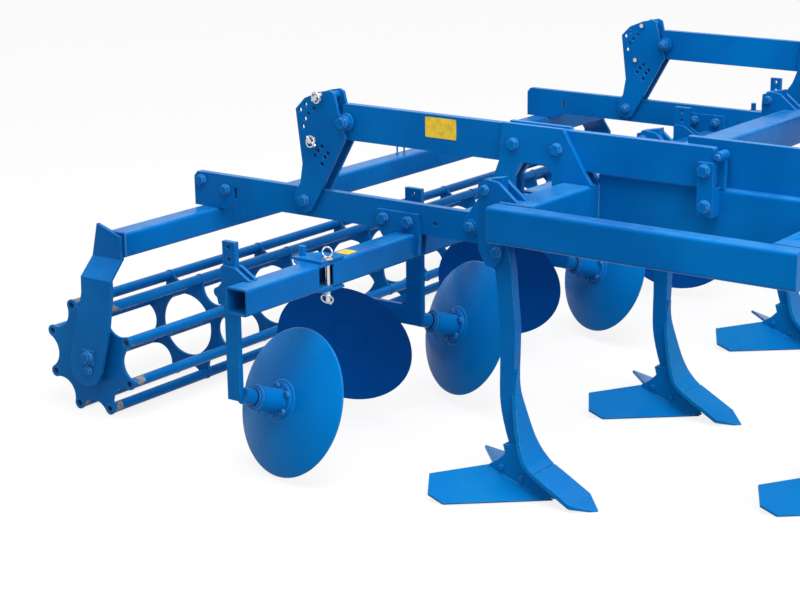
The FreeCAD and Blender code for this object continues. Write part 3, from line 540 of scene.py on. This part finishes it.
def placed(master, spot, direction, spin=0.0):
    """A copy with its own mesh, its foot at the spot and its Z along a direction."""
    turn = Vector(direction).to_track_quat("Z", "Y").to_matrix().to_4x4()
    copy = master.copy()
    copy.data = master.data.copy()
    copy.data.transform(Matrix.Translation(Vector(spot)) @ turn @ Matrix.Rotation(spin, 4, "Z"))
    bpy.context.scene.collection.objects.link(copy)
    return copy


def sideways(master, x, y, z, way, spin):
    """A copy that points to the left where way is 1 and to the right where it is -1."""
    return placed(master, (x, y, z), (0.0, way, 0.0), spin)


def discard(*objects):
    for obj in objects:
        bpy.data.objects.remove(obj, do_unlink=True)


def set_material(node, name):
    """Give a CAD node its finish."""
    obj = frame["nodes"][node]
    obj.data.materials.clear()
    obj.data.materials.append(finish(name))


def finish_piece(obj, body, name, angle=35.0):
    """Smooth and paint a made piece, and hang it on its body."""
    obj.data.materials.append(finish(name))
    select_only(obj)
    bpy.ops.object.shade_smooth_by_angle(angle=math.radians(angle))
    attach(obj, body)


def hexagon_on_washer(across, height):
    """A hexagon and the washer that it stands on, from its width across the flats."""
    thick = 0.1 * across
    washer = drum(0.62 * across, low=0.0, high=thick, sides=20, bevel=0.02 * across)
    hexagon = drum(across / math.sqrt(3.0), low=thick, high=thick + height, sides=6,
                   bevel=0.055 * across)
    return [hexagon, washer], thick + height


def bolt_head(across):
    """Hexagon head on a washer, standing on z = 0."""
    pieces, _ = hexagon_on_washer(across, 0.42 * across)
    return joined(pieces, "bolt_head")


def bolt_tail(across):
    """Nut on a washer with the bolt's end through it, standing on z = 0."""
    pieces, top = hexagon_on_washer(across, 0.5 * across)
    pieces.append(drum(0.33 * across, low=top - 0.001, high=top + 0.2 * across, sides=12,
                       bevel=0.05 * across))
    return joined(pieces, "bolt_tail")


def linch_pin():
    """Linch pin lying along X through a larger pin's end, its ring folded over that end."""
    size = fittings().ring_size
    pin_radius = 0.0036
    eye_radius = 0.0065
    ring_lean = math.radians(-14.0)
    body = drum(pin_radius, low=-size - 0.004, high=size + 0.003, sides=14,
                bevel=0.001, both=True)
    eye = drum(eye_radius, low=size + 0.002, high=size + 0.011, sides=14,
               bevel=0.0012, both=True)
    loop = ring(size + 0.0025, fittings().ring_wire)
    return joined([turned(body, math.pi / 2.0, "Y"), turned(eye, math.pi / 2.0, "Y"),
                   turned(loop, ring_lean, "Y", (0.003, 0.0, 0.0045))], "linch_pin")


def tine_pitch():
    """Distance between neighbouring tine lines."""
    shank_width = 0.030
    low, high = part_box("front_tine_shanks")
    return (high.y - low.y - shank_width) / 4.0


# --- operators ----------------------------------------------------------------------------------
class CULTIVATOR_OT_stage(bpy.types.Operator):
    """Camera, floor, lamps and world."""
    bl_idname = "cultivator.stage"
    bl_label = "Stage"

    camera_place = (2.4844, -5.5203, 1.9615)    # ahead of the rear shares' tips, aside and up
    camera_turn = (73.81, 0.0, 33.86)           # in degrees
    camera_lens = 86.8
    camera_shift = (-0.1124, 0.0265)
    lamps_look_at = (0.0, 0.0, 0.5)
    key_place = (1.2, -1.6, 5.2)
    key_size = 4.5
    side_place = (6.0, -3.2, 2.6)
    side_size = 3.5
    floor_size = 60.0

    def execute(self, context):
        scene = context.scene
        scene.view_settings.view_transform = "Standard"
        self.camera(scene)
        self.floor()
        self.lamp("key_lamp", self.key_place, self.key_size, stage().key)
        self.lamp("side_lamp", self.side_place, self.side_size, stage().side)
        self.world(scene)
        return {"FINISHED"}

    def camera(self, scene):
        select_only()
        x, y, z = self.camera_place
        bpy.ops.object.camera_add(location=(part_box("rear_shares")[1].x + x, y, z),
                                  rotation=[math.radians(angle) for angle in self.camera_turn])
        camera = bpy.context.object
        camera.name = "camera"
        camera.data.lens = self.camera_lens
        camera.data.shift_x, camera.data.shift_y = self.camera_shift
        camera.data.clip_end = 200.0
        scene.camera = camera

    def floor(self):
        select_only()
        bpy.ops.mesh.primitive_plane_add(size=self.floor_size, location=(0.0, 0.0, 0.0))
        floor = bpy.context.object
        floor.name = "floor"
        floor.data.materials.append(finish("floor_pale"))

    def lamp(self, name, place, size, power):
        select_only()
        bpy.ops.object.light_add(type="AREA", location=place)
        lamp = bpy.context.object
        lamp.name = name
        look = Vector(self.lamps_look_at) - Vector(place)
        lamp.rotation_euler = look.to_track_quat("-Z", "Y").to_euler()
        lamp.data.shape = "SQUARE"
        lamp.data.size = size
        lamp.data.energy = power

    def world(self, scene):
        """White world to the eye, and weaker as a light."""
        world = bpy.data.worlds.new("studio")
        scene.world = world
        world.use_nodes = True
        tree = world.node_tree
        seen = seen_node(tree)
        strength = math_node(tree, "ADD", stage().ambient,
                             math_node(tree, "MULTIPLY", seen, 1.0 - stage().ambient))
        background = tree.nodes["Background"]
        background.inputs["Color"].default_value = (1.0, 1.0, 1.0, 1.0)
        tree.links.new(strength, background.inputs["Strength"])


class CULTIVATOR_OT_paintwork(bpy.types.Operator):
    """Enamel and zinc on the machine's own parts."""
    bl_idname = "cultivator.paintwork"
    bl_label = "Paintwork"

    slot_finishes = {"blue_paint": "blue_enamel", "share_paint": "share_enamel",
                     "roller_paint": "roller_enamel", "plated_pin": "zinc_plate"}
    node_finishes = {"roller_bars": "roller_bar_enamel", "hinge_pins": "blue_enamel"}

    def execute(self, context):
        slots = {part["node"]: part["material_slot"] for part in frame["record"]["subparts"]}
        for node in frame["nodes"]:
            if node in DISCS:
                name = node + "_enamel"
            else:
                name = self.node_finishes.get(node) or self.slot_finishes[slots[node]]
            set_material(node, name)
        return {"FINISHED"}


class CULTIVATOR_OT_frame_bolts(bpy.types.Operator):
    """Bolts of the arch brackets and struts, and of the bushes on the struts."""
    bl_idname = "cultivator.frame_bolts"
    bl_label = "Frame bolts"

    arch_spots = ((-0.258, -0.058), (-0.113, -0.058))       # from a bracket's front top corner
    strut_spots = ((-0.0475, -0.053), (-0.0435, -0.150))    # from a strut's front top corner
    bush_ahead = 0.0143     # middle of a bush ahead of the arm's end and below the strut's top
    bush_out = 0.004        # a bush's end out from the arm's outer face

    def execute(self, context):
        head = bolt_head(fittings().large_bolt)
        tail = bolt_tail(fittings().large_bolt)
        bush_head = bolt_head(fittings().small_bolt)
        arm_low, arm_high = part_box("upper_arm_left")
        bracket_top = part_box("arch_brackets")[1]
        strut_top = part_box("arm_struts")[1]
        outer = bracket_top.y
        inner = arm_low.y - (bracket_top.y - arm_high.y)
        pieces = []
        for top, spots, inner_spots in ((bracket_top, self.arch_spots, self.arch_spots),
                                        (strut_top, self.strut_spots, self.strut_spots[:1])):
            for side in SIDES.values():
                for x, z in spots:
                    pieces.append(sideways(head, top.x + x, side * outer, top.z + z,
                                           side, spin=0.3 + x))
                for x, z in inner_spots:
                    pieces.append(sideways(tail, top.x + x, side * inner, top.z + z,
                                           -side, spin=0.7 + x))
        for side in SIDES.values():
            pieces.append(sideways(bush_head, arm_high.x + self.bush_ahead,
                                   side * (arm_high.y + self.bush_out),
                                   strut_top.z - self.bush_ahead, side, spin=0.2))
        discard(head, tail, bush_head)
        finish_piece(joined(pieces, "frame_bolts"), "frame", "fastener_enamel")
        return {"FINISHED"}


class CULTIVATOR_OT_tine_bolts(bpy.types.Operator):
    """Bolts through the tine holders, with their nuts."""
    bl_idname = "cultivator.tine_bolts"
    bl_label = "Tine bolts"

    spots = ((0.023, -0.029), (0.062, -0.196))      # from a holder plate's rear top corner

    def execute(self, context):
        head = bolt_head(fittings().medium_bolt)
        tail = bolt_tail(fittings().medium_bolt)
        pitch = tine_pitch()
        pieces = []
        for row, lines in TINE_ROWS:
            low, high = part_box(row + "_tine_holders")
            plate_face = high.y - lines[-1] * pitch
            for line in lines:
                for x, z in self.spots:
                    for side, master in ((-1.0, head), (1.0, tail)):
                        y = line * pitch + side * plate_face
                        pieces.append(sideways(master, low.x + x, y, high.z + z,
                                               side, spin=0.4 * line))
        discard(head, tail)
        finish_piece(joined(pieces, "tine_bolts"), "frame", "fastener_enamel")
        return {"FINISHED"}


class CULTIVATOR_OT_share_bolts(bpy.types.Operator):
    """Bolts on both sides of the shares' frogs."""
    bl_idname = "cultivator.share_bolts"
    bl_label = "Share bolts"

    spots = ((-0.301, 0.0736), (-0.2355, 0.0522))   # behind a share's tip and above the ground
    frog_side = 0.020                               # side face of a frog from its tine line

    def execute(self, context):
        head = bolt_head(fittings().small_bolt)
        pitch = tine_pitch()
        pieces = []
        for row, lines in TINE_ROWS:
            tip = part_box(row + "_shares")[1].x
            for line in lines:
                for x, z in self.spots:
                    for side in SIDES.values():
                        y = line * pitch + side * self.frog_side
                        pieces.append(sideways(head, tip + x, y, z, side, spin=0.3 * line))
        discard(head)
        finish_piece(joined(pieces, "share_bolts"), "frame", "share_enamel")
        return {"FINISHED"}


class CULTIVATOR_OT_carrier_bolts(bpy.types.Operator):
    """Bolts of the lower arms, the disc tube's brackets and the adjuster plates."""
    bl_idname = "cultivator.carrier_bolts"
    bl_label = "Carrier bolts"

    arm_spots = ((0.032, -0.026), (0.132, -0.047))      # from a lower arm's rear top corner
    bracket_spots = ((0.028, -0.027), (0.117, -0.028))  # from a bracket's rear top corner
    adjuster_low = (0.040, 0.041)                       # from an adjuster plate's rear low corner
    adjuster_high = (-0.027, -0.090)                    # from its front top corner
    pivot_boss = 0.012      # how far the bosses of the high bolt stand out from the plates

    def execute(self, context):
        head = bolt_head(fittings().large_bolt)
        tail = bolt_tail(fittings().large_bolt)
        arm_low, arm_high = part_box("lower_arm_left")
        low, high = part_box("disc_tube_brackets")
        inner = arm_low.y - (high.y - arm_high.y)
        pieces = []
        for side in SIDES.values():
            for x, z in self.arm_spots:
                pieces.append(sideways(head, arm_low.x + x, side * arm_high.y, arm_high.z + z,
                                       side, spin=0.2))
            for x, z in self.bracket_spots:
                for master, y, way in ((head, high.y, side), (tail, inner, -side)):
                    pieces.append(sideways(master, low.x + x, side * y, high.z + z,
                                           way, spin=0.5))
        low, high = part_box("adjuster_plates_left")
        for side in SIDES.values():
            for corner, (x, z), inset in ((low, self.adjuster_low, self.pivot_boss),
                                          (high, self.adjuster_high, 0.0)):
                for master, y, way in ((head, high.y - inset, side),
                                       (tail, low.y + inset, -side)):
                    pieces.append(sideways(master, corner.x + x, side * y, corner.z + z,
                                           way, spin=0.1))
        discard(head, tail)
        finish_piece(joined(pieces, "carrier_bolts"), "carrier", "fastener_enamel")
        return {"FINISHED"}


class CULTIVATOR_OT_hinge_bolts(bpy.types.Operator):
    """Bolt heads on the outer ends of the hinge pins."""
    bl_idname = "cultivator.hinge_bolts"
    bl_label = "Hinge bolts"

    def execute(self, context):
        hinge = Vector(JOINTS["carrier_hinge"]["pos_m"])
        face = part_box("hinge_pins")[1].y
        head = bolt_head(fittings().medium_bolt)
        pieces = [sideways(head, hinge.x, side * face, hinge.z, side, spin=0.6)
                  for side in SIDES.values()]
        discard(head)
        finish_piece(joined(pieces, "hinge_bolts"), "frame", "fastener_enamel")
        return {"FINISHED"}


class CULTIVATOR_OT_hub_bolts(bpy.types.Operator):
    """Bolts round each disc's hub flange, with the hub's seal, collar and grease nipple."""
    bl_idname = "cultivator.hub_bolts"
    bl_label = "Hub bolts"

    flange_back = 0.055     # rim plane of a disc back to the hub flange's free face
    hub_end = 0.139         # rim plane back to the hub's end
    bolt_circle = 0.043
    hub_radius = 0.035
    lip = 0.003             # how far the collar stands out from the hub
    seal_inset = 0.006      # rim of the seal in from the hub's side
    nipple_radius = 0.004
    nipple_ahead = 0.03     # from the hub's end

    def execute(self, context):
        head = bolt_head(fittings().small_bolt)
        seal = drum(self.hub_radius - self.seal_inset, low=-0.003, high=0.0005, sides=28)
        collar = drum(self.hub_radius + self.lip, low=0.0, high=0.010, sides=28,
                      bevel=0.002, both=True)
        nipple = drum(self.nipple_radius, low=-0.002, high=0.012, sides=10, bevel=0.001)
        count = fittings().hub_bolts
        for disc in DISCS:
            joint = JOINTS[disc + "_spin"]
            centre = Vector(joint["pos_m"])
            axis = Vector(joint["axis"]).normalized()
            turn = axis.to_track_quat("Z", "Y").to_matrix()
            pieces = []
            for number in range(count):
                angle = 2.0 * math.pi * number / count
                off = turn @ Vector((math.cos(angle), math.sin(angle), 0.0)) * self.bolt_circle
                pieces.append(placed(head, centre - axis * self.flange_back + off, -axis, angle))
            pieces.append(placed(seal, centre - axis * self.hub_end, axis))
            pieces.append(placed(collar, centre - axis * (self.hub_end - 0.002), axis))
            side = turn @ Vector((0.0, -1.0, 0.0))
            spot = centre - axis * (self.hub_end - self.nipple_ahead) + side * self.hub_radius
            pieces.append(placed(nipple, spot, side))
            finish_piece(joined(pieces, disc + "_bolts"), disc, "fastener_enamel")
        discard(head, seal, collar, nipple)
        return {"FINISHED"}


class CULTIVATOR_OT_pin_clips(bpy.types.Operator):
    """Linch pins of the adjuster and disc tube pins, and the tube pins' pull rings."""
    bl_idname = "cultivator.pin_clips"
    bl_label = "Pins, rings and clips"

    adjuster_collar = 0.013     # radius of the collars at the outer ends of the adjusters' pins
    adjuster_inset = 0.007      # linch pin in from such an end
    adjuster_spins = (-0.55, 0.70)
    tube_clip_up = 0.008        # linch pin up from a tube pin's low end
    tube_clip_lean = (0.25, -0.35)  # ahead and up
    tube_clip_spin = 1.9
    pull_ring_lean = 0.35           # ahead

    def execute(self, context):
        clip = linch_pin()
        low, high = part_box("adjuster_pins")
        upper_spin, lower_spin = self.adjuster_spins
        pieces = []
        for side in SIDES.values():
            y = side * (high.y - self.adjuster_inset)
            for x, z, spin in (
                    (high.x - self.adjuster_collar, high.z - self.adjuster_collar, upper_spin),
                    (low.x + self.adjuster_collar, low.z + self.adjuster_collar, lower_spin)):
                pieces.append(sideways(clip, x, y, z, side, spin=spin * side))
        finish_piece(joined(pieces, "adjuster_clips"), "carrier", "zinc_plate")
        low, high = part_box("disc_tube_pins")
        middle = (low.x + high.x) / 2.0
        collar = (high.x - low.x) / 2.0
        pull = ring(fittings().ring_size, fittings().ring_wire)
        pieces = []
        for side in SIDES.values():
            y = side * (high.y - collar)
            lean_x, lean_z = self.tube_clip_lean
            spot = (middle, y, high.z + fittings().ring_size - 0.001)
            pieces.append(placed(pull, spot, (self.pull_ring_lean, side, 0.0)))
            spot = (middle, y, low.z + self.tube_clip_up)
            pieces.append(placed(clip, spot, (lean_x, side, lean_z), self.tube_clip_spin))
        discard(clip, pull)
        finish_piece(joined(pieces, "tube_clips"), "carrier", "zinc_plate")
        return {"FINISHED"}


class CULTIVATOR_OT_bearing_bolts(bpy.types.Operator):
    """Square washer plate and bolts on the end arms beside the roller's bearings."""
    bl_idname = "cultivator.bearing_bolts"
    bl_label = "Roller bearing bolts"

    plate_half = 0.023
    plate_thick = 0.005
    plate_spot = (0.033, 0.017)     # from the roller's axis
    second_spot = (0.029, -0.028)

    def execute(self, context):
        axis = Vector(JOINTS["roller_spin"]["pos_m"])
        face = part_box("roller_end_arm_left")[1].y
        plate = drum(self.plate_half * math.sqrt(2.0), low=0.0, high=self.plate_thick, sides=4,
                     bevel=0.001)
        large = bolt_head(fittings().large_bolt)
        medium = bolt_head(fittings().medium_bolt)
        pieces = []
        for side in SIDES.values():
            for master, (x, z), stand, spin in (
                    (plate, self.plate_spot, 0.0, math.pi / 4.0),
                    (large, self.plate_spot, self.plate_thick, 0.35),
                    (medium, self.second_spot, 0.0, 0.1)):
                pieces.append(sideways(master, axis.x + x, side * (face + stand), axis.z + z,
                                       side, spin))
        discard(plate, large, medium)
        finish_piece(joined(pieces, "bearing_bolts"), "carrier", "fastener_enamel")
        return {"FINISHED"}


class CULTIVATOR_OT_rear_hoop(bpy.types.Operator):
    """Small wire hoop standing on the middle of the roller tube."""
    bl_idname = "cultivator.rear_hoop"
    bl_label = "Rear hoop"

    half_span = 0.0155
    leg = 0.040
    wire = 0.0068
    back = 0.038            # hoop's middle behind the tube's front face
    aside = 0.030           # left of the machine's middle

    def execute(self, context):
        tube_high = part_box("roller_tube")[1]
        bow = turned(ring(self.half_span, self.wire), math.pi / 2.0, "X", (0.0, 0.0, self.leg))
        select_faces(bow, lambda centre, normal: centre.z < self.leg)
        bpy.ops.mesh.delete(type="FACE")
        leave_edit()
        pieces = [bow]
        foot_radius = self.wire / 2.0 + fittings().weld_leg / 2.0
        for x in (-self.half_span, self.half_span):
            post = drum(self.wire / 2.0, low=-0.001, high=self.leg + 0.0005, sides=10)
            foot = drum(foot_radius, low=-0.001, high=0.004, sides=12, bevel=0.002)
            pieces += [moved(post, (x, 0.0, 0.0)), moved(foot, (x, 0.0, 0.0))]
        hoop = moved(joined(pieces, "rear_hoop"), (tube_high.x - self.back, self.aside,
                                                   tube_high.z))
        finish_piece(hoop, "carrier", "fastener_enamel")
        return {"FINISHED"}


class CULTIVATOR_OT_welds(bpy.types.Operator):
    """Rippled weld beads where rails, beams and the roller tube meet their neighbours."""
    bl_idname = "cultivator.welds"
    bl_label = "Welds"

    pitch = 0.0045          # from drop to drop
    inset = 0.006           # a bead's end from a tube's corner

    def bead(self, start, end):
        """Row of overlapping flattened drops from start to end."""
        start, end = Vector(start), Vector(end)
        count = max(2, int((end - start).length / self.pitch))
        select_only()
        bpy.ops.mesh.primitive_uv_sphere_add(segments=10, ring_count=6,
                                             radius=fittings().weld_leg)
        drop = bpy.context.object
        drop.data.transform(Matrix.Diagonal((1.0, 1.0, 0.75, 1.0)))
        drops = [placed(drop, start.lerp(end, number / count), end - start, 0.7 * number)
                 for number in range(count + 1)]
        discard(drop)
        return joined(drops, "bead")

    def execute(self, context):
        tube_low, tube_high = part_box("roller_tube")
        rear_low, rear_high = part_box("rear_tine_tube")
        beam_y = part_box("side_beam_left")[0].y
        rail_low, rail_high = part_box("main_rail_left")
        frame_beads = []
        tube_beads = []
        for side in SIDES.values():
            y = side * tube_high.y
            tube_beads += [
                self.bead((tube_low.x + self.inset, y, tube_high.z),
                          (tube_high.x - self.inset, y, tube_high.z)),
                self.bead((tube_high.x, y, tube_low.z + self.inset),
                          (tube_high.x, y, tube_high.z - self.inset))]
            y = side * beam_y
            frame_beads.append(self.bead((rear_low.x + self.inset, y, rear_high.z),
                                         (rear_high.x, y, rear_high.z)))
            for y in (side * beam_y, side * rail_low.y, side * rail_high.y):
                frame_beads.append(self.bead((rear_high.x, y, rear_low.z + self.inset),
                                             (rear_high.x, y, rear_high.z)))
        for beads, name, body in ((frame_beads, "frame_welds", "frame"),
                                  (tube_beads, "tube_welds", "carrier")):
            finish_piece(joined(beads, name), body, "fastener_enamel", angle=60.0)
        return {"FINISHED"}


class CULTIVATOR_OT_notice_plates(bpy.types.Operator):
    """Blank yellow plates on the upper arms and on the disc tube."""
    bl_idname = "cultivator.notice_plates"
    bl_label = "Notice plates"

    arm_size = (0.110, 0.060)
    arm_spot = (0.360, -0.038)      # from an upper arm's rear top corner
    tube_size = (0.045, 0.046)
    tube_inset = 0.107              # from the disc tube's end
    thick = 0.0005
    gap = 0.0002                    # left under a plate
    corner = 0.004

    def plate(self, size, spot, direction, name, body):
        """Thin plate with rounded corners, its back at the spot."""
        select_only()
        bpy.ops.mesh.primitive_plane_add(size=1.0)
        obj = bpy.context.object
        obj.data.transform(Matrix.Diagonal((size[0], size[1], 1.0, 1.0)))
        select_faces(obj, lambda centre, normal: True)
        bpy.ops.mesh.bevel(offset=self.corner, segments=3, affect="VERTICES")
        bpy.ops.mesh.extrude_region_move(
            TRANSFORM_OT_translate={"value": (0.0, 0.0, self.thick)})
        bpy.ops.mesh.select_all(action="SELECT")
        bpy.ops.mesh.normals_make_consistent(inside=False)
        leave_edit()
        piece = placed(obj, spot, direction)
        discard(obj)
        piece.name = name
        finish_piece(piece, body, "yellow_foil")

    def execute(self, context):
        arm_low, arm_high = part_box("upper_arm_left")
        tube_low, tube_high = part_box("disc_tube")
        for name, side in SIDES.items():
            x, z = self.arm_spot
            spot = (arm_low.x + x, side * (arm_high.y + self.gap), arm_high.z + z)
            self.plate(self.arm_size, spot, (0.0, side, 0.0), "arm_plate_" + name, "frame")
            spot = ((tube_low.x + tube_high.x) / 2, side * (tube_high.y - self.tube_inset),
                    tube_high.z + self.gap)
            self.plate(self.tube_size, spot, (0.0, 0.0, 1.0), "tube_plate_" + name, "carrier")
        return {"FINISHED"}


class CULTIVATOR_PT_panel(bpy.types.Panel):
    """Lists the operators in the order in which they run, then the sizes and colours."""
    bl_idname = "CULTIVATOR_PT_panel"
    bl_label = "Stubble cultivator"
    bl_space_type = "VIEW_3D"
    bl_region_type = "UI"
    bl_category = "Cultivator"

    def draw(self, context):
        for operator in OPERATORS:
            self.layout.operator(operator.bl_idname)
        for settings in (paint(), fittings(), stage()):
            box = self.layout.box()
            for name in settings.__annotations__:
                box.prop(settings, name)


OPERATORS = (CULTIVATOR_OT_stage, CULTIVATOR_OT_paintwork, CULTIVATOR_OT_frame_bolts,
             CULTIVATOR_OT_tine_bolts, CULTIVATOR_OT_share_bolts, CULTIVATOR_OT_carrier_bolts,
             CULTIVATOR_OT_hinge_bolts, CULTIVATOR_OT_hub_bolts, CULTIVATOR_OT_pin_clips,
             CULTIVATOR_OT_bearing_bolts, CULTIVATOR_OT_rear_hoop, CULTIVATOR_OT_welds,
             CULTIVATOR_OT_notice_plates)
CLASSES = (PaintSettings, FittingSettings, StageSettings) + OPERATORS + (CULTIVATOR_PT_panel,)


def register():
    for cls in CLASSES:
        bpy.utils.register_class(cls)
    bpy.types.Scene.cultivator_paint = PointerProperty(type=PaintSettings)
    bpy.types.Scene.cultivator_fittings = PointerProperty(type=FittingSettings)
    bpy.types.Scene.cultivator_stage = PointerProperty(type=StageSettings)


def unregister():
    del bpy.types.Scene.cultivator_stage
    del bpy.types.Scene.cultivator_fittings
    del bpy.types.Scene.cultivator_paint
    for cls in reversed(CLASSES):
        bpy.utils.unregister_class(cls)


def main():
    register()
    for operator in OPERATORS:
        group, name = operator.bl_idname.split(".")
        getattr(getattr(bpy.ops, group), name)()
    bpy.context.view_layer.update()


if __name__ == "__main__":
    main()
